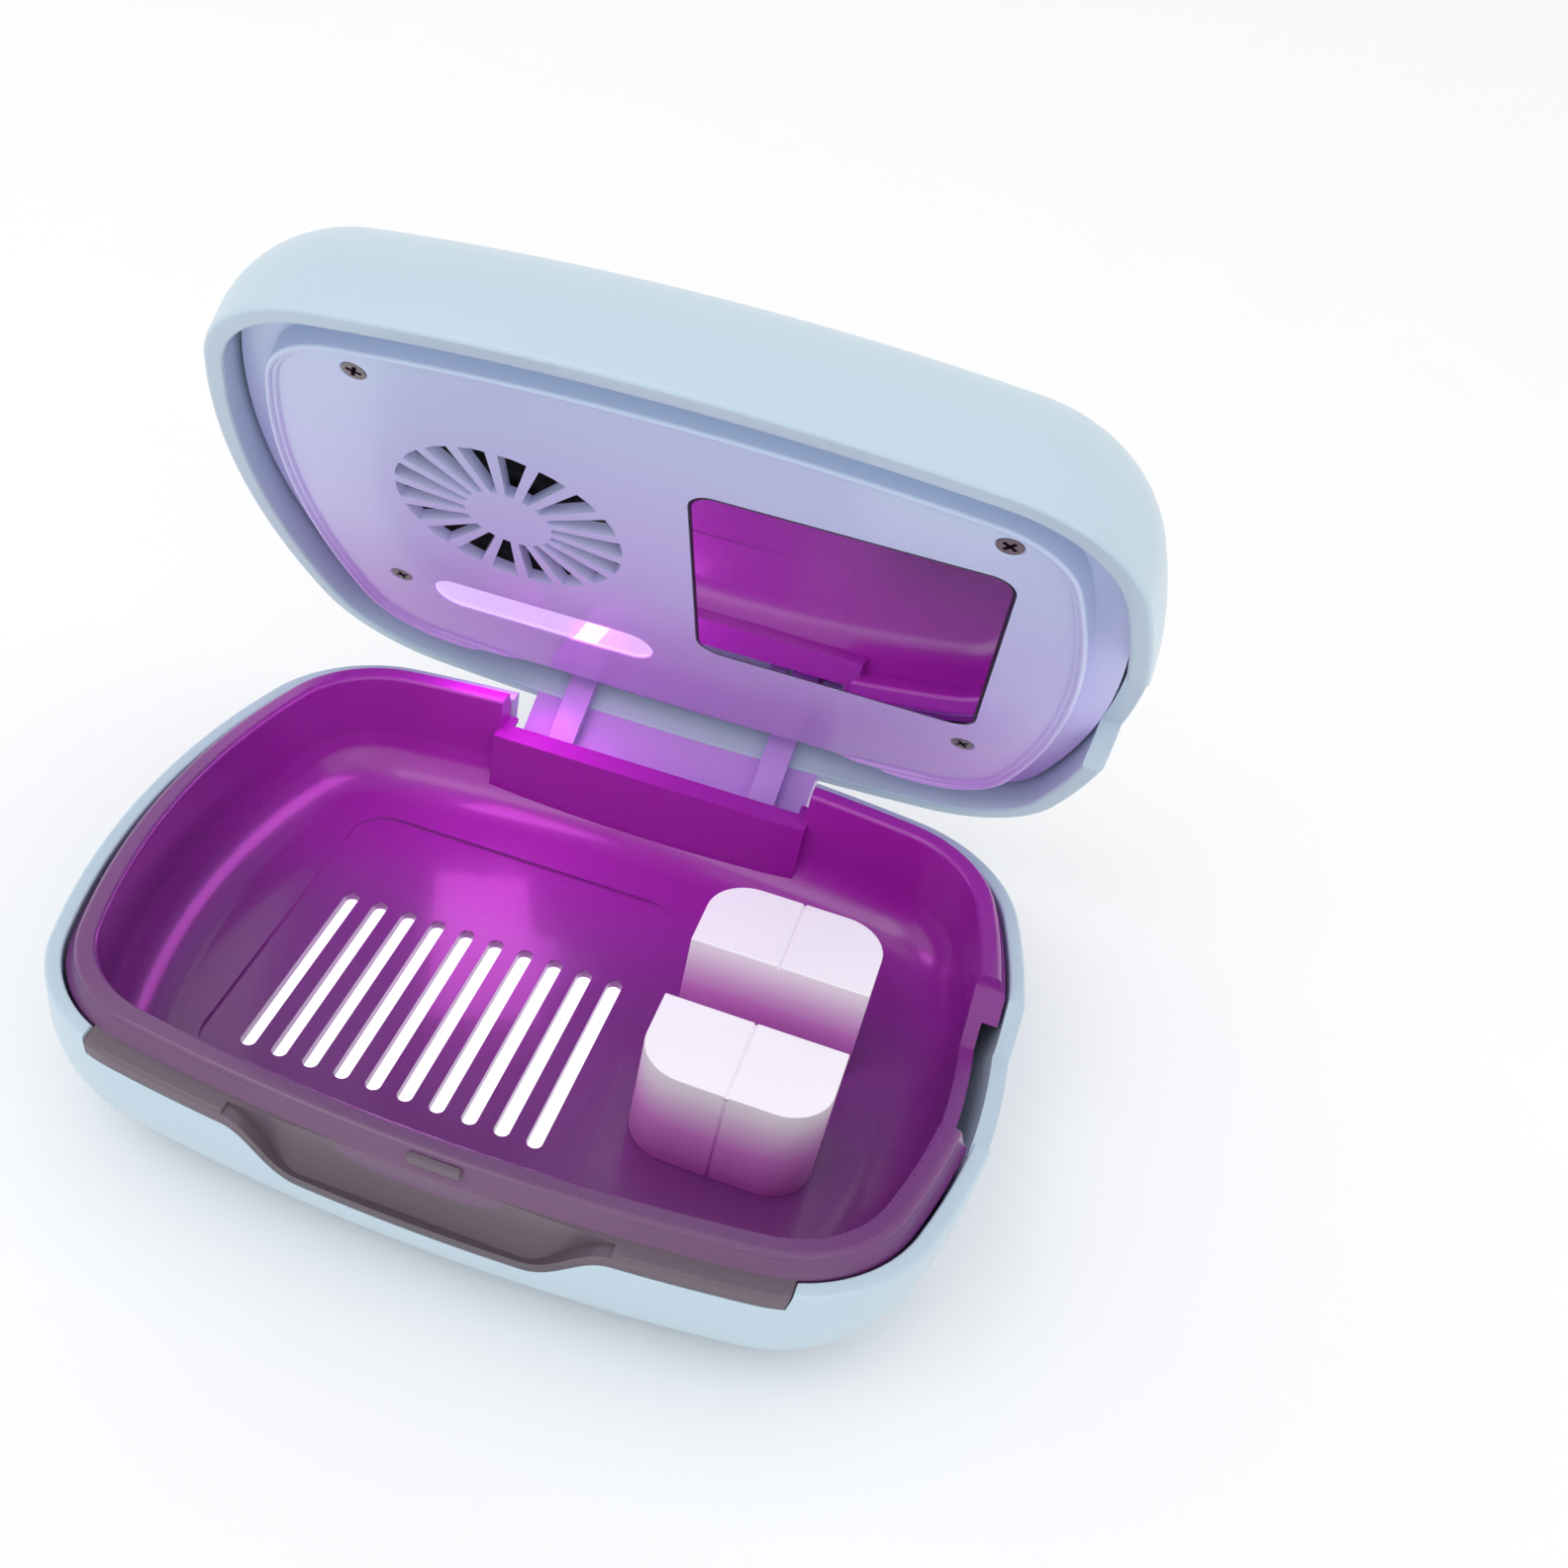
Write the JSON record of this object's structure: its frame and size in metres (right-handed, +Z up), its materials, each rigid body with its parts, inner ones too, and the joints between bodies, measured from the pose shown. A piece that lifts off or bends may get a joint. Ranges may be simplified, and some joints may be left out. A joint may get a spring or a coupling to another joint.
{
  "type": "toothbrush sanitizer",
  "caption": "Pebble-shaped clamshell case that dries and sterilises a toothbrush head with a fan and ultraviolet lamps in its hinged lid.",
  "frame": {"origin": "centre of the flat underside of the base shell, the face it stands on", "axes": "+Z up, +X along the case towards the notch the brush neck leaves by, -Y towards the front thumb scoop, +Y towards the hinge"},
  "size_m": [0.1097, 0.1017, 0.0905],
  "materials": {
    "shell_blue": "satin pale blue",
    "smoke_tray": "translucent smoke purple",
    "white_plate": "white",
    "white_silicone": "soft white",
    "pin_steel": "ground steel",
    "liner_lavender": "satin lavender",
    "screw_nickel": "nickel plated",
    "mirror": "silvered",
    "foam_black": "black foam",
    "fan_black": "black",
    "copper_wire": "enamelled wire",
    "bearing_brass": "sintered",
    "lamp_lens": "frosted clear",
    "board_green": "solder mask",
    "lamp_white": "glowing violet white",
    "socket_steel": "drawn steel",
    "battery_foil": "foil pouch",
    "tape_amber": "amber tape",
    "lead_red": "insulation",
    "lead_white": "insulation",
    "lead_black": "insulation"
  },
  "bodies": {
    "base": {"base_shell": "shell_blue", "brush_tray": "smoke_tray", "drip_plate": "white_plate", "front_grip": "white_silicone", "rear_grip": "white_silicone", "hinge_pin": "pin_steel", "friction_washers": "pin_steel"},
    "lid": {"lid_shell": "shell_blue", "lid_liner": "liner_lavender", "liner_screws": "screw_nickel", "mirror_pane": "mirror", "mirror_tape": "foam_black", "fan_gasket": "foam_black", "fan_frame": "fan_black", "fan_coil": "copper_wire", "fan_bearing": "bearing_brass", "lamp_window": "lamp_lens", "lamp_board": "board_green", "uv_lamps": "lamp_white", "control_board": "board_green", "board_screws": "screw_nickel", "usb_socket": "socket_steel", "usb_tongue": "fan_black", "battery": "battery_foil", "battery_tape": "tape_amber", "fan_leads": "lead_red", "lamp_leads": "lead_white", "battery_leads": "lead_black"},
    "fan": {"fan_rotor": "fan_black", "fan_axle": "pin_steel"}
  },
  "joints": [
    {"name": "lid_hinge", "type": "hinge", "parent": "base", "child": "lid", "pos_m": [0, 0.0404, 0.0114], "axis": [1, 0, 0], "range_deg": [0, 57]},
    {"name": "fan_spin", "type": "hinge", "parent": "lid", "child": "fan", "pos_m": [-0.0191, 0.029, 0.05944], "axis": [0, 0.8387, 0.5446], "continuous": true}
  ]
}
